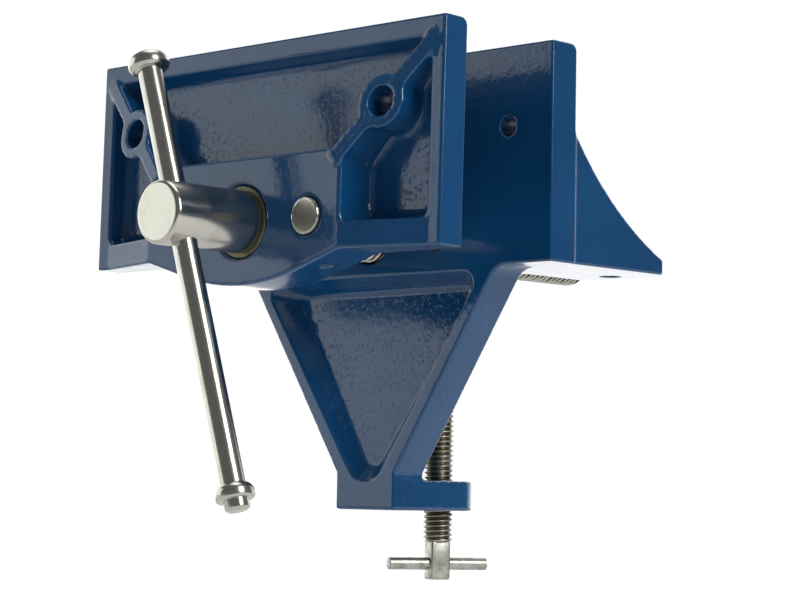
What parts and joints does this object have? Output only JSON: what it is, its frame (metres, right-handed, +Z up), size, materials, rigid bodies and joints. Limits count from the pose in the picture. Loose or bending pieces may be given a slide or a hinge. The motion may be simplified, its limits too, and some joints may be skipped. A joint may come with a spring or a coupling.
{
  "type": "bench vise",
  "caption": "Clamp-on woodworking vise: blue cast jaws, screw with sliding handle bar, slide rods and a bench clamp with swivel pad.",
  "frame": {"origin": "on the rear jaw's gripping face, at mid width, level with the bench top that the vise is clamped to", "axes": "+X along the jaws to the operator's right, +Y from the operator into the bench, +Z up"},
  "size_m": [0.15, 0.1878, 0.1632],
  "materials": {
    "blue_enamel": "gloss enamel over cast iron",
    "bright_steel": "turned and polished",
    "zinc_steel": "zinc plated",
    "plain_steel": "oiled black steel",
    "bronze": "greasy bronze"
  },
  "bodies": {
    "bench_body": {"fixed_jaw_casting": "blue_enamel", "main_nut": "plain_steel"},
    "front_jaw": {"moving_jaw_casting": "blue_enamel", "guide_rod_left": "bright_steel", "guide_rod_right": "bright_steel", "rod_pin_left": "plain_steel", "rod_pin_right": "plain_steel", "thrust_washer": "bronze"},
    "jaw_screw": {"main_screw": "bright_steel", "retaining_collar": "plain_steel", "collar_pin": "plain_steel"},
    "handle": {"tommy_bar": "bright_steel", "tommy_bar_knob_upper": "bright_steel", "tommy_bar_knob_lower": "bright_steel"},
    "pad": {"clamp_pad": "zinc_steel"},
    "bench_clamp": {"clamp_screw": "zinc_steel", "clamp_tbar": "zinc_steel"}
  },
  "joints": [
    {"name": "jaw_slide", "type": "slide", "parent": "bench_body", "child": "front_jaw", "axis": [0, -1, 0], "range_m": [-0.03737, 0.0712]},
    {"name": "screw_turn", "type": "hinge", "parent": "front_jaw", "child": "jaw_screw", "pos_m": [0, -0.06, 0.0111], "axis": [0, -1, 0], "range_deg": [-5835.6, 11109.9]},
    {"name": "bar_slide", "type": "slide", "parent": "jaw_screw", "child": "handle", "axis": [-0.3156, 0, 0.9489], "range_m": [-0.0364, 0.0728]},
    {"name": "pad_lift", "type": "slide", "parent": "bench_body", "child": "pad", "axis": [0, 0, 1], "range_m": [-0.0305, 0.01]},
    {"name": "clamp_turn", "type": "hinge", "parent": "pad", "child": "bench_clamp", "pos_m": [0, 0.034, -0.06], "axis": [0, 0, 1], "range_deg": [-6925.5, 2276.7]}
  ],
  "couplings": [
    {"joint": "screw_turn", "follows": "jaw_slide", "rad_per_m": 2721.2},
    {"joint": "clamp_turn", "follows": "pad_lift", "rad_per_m": 3957.9}
  ]
}
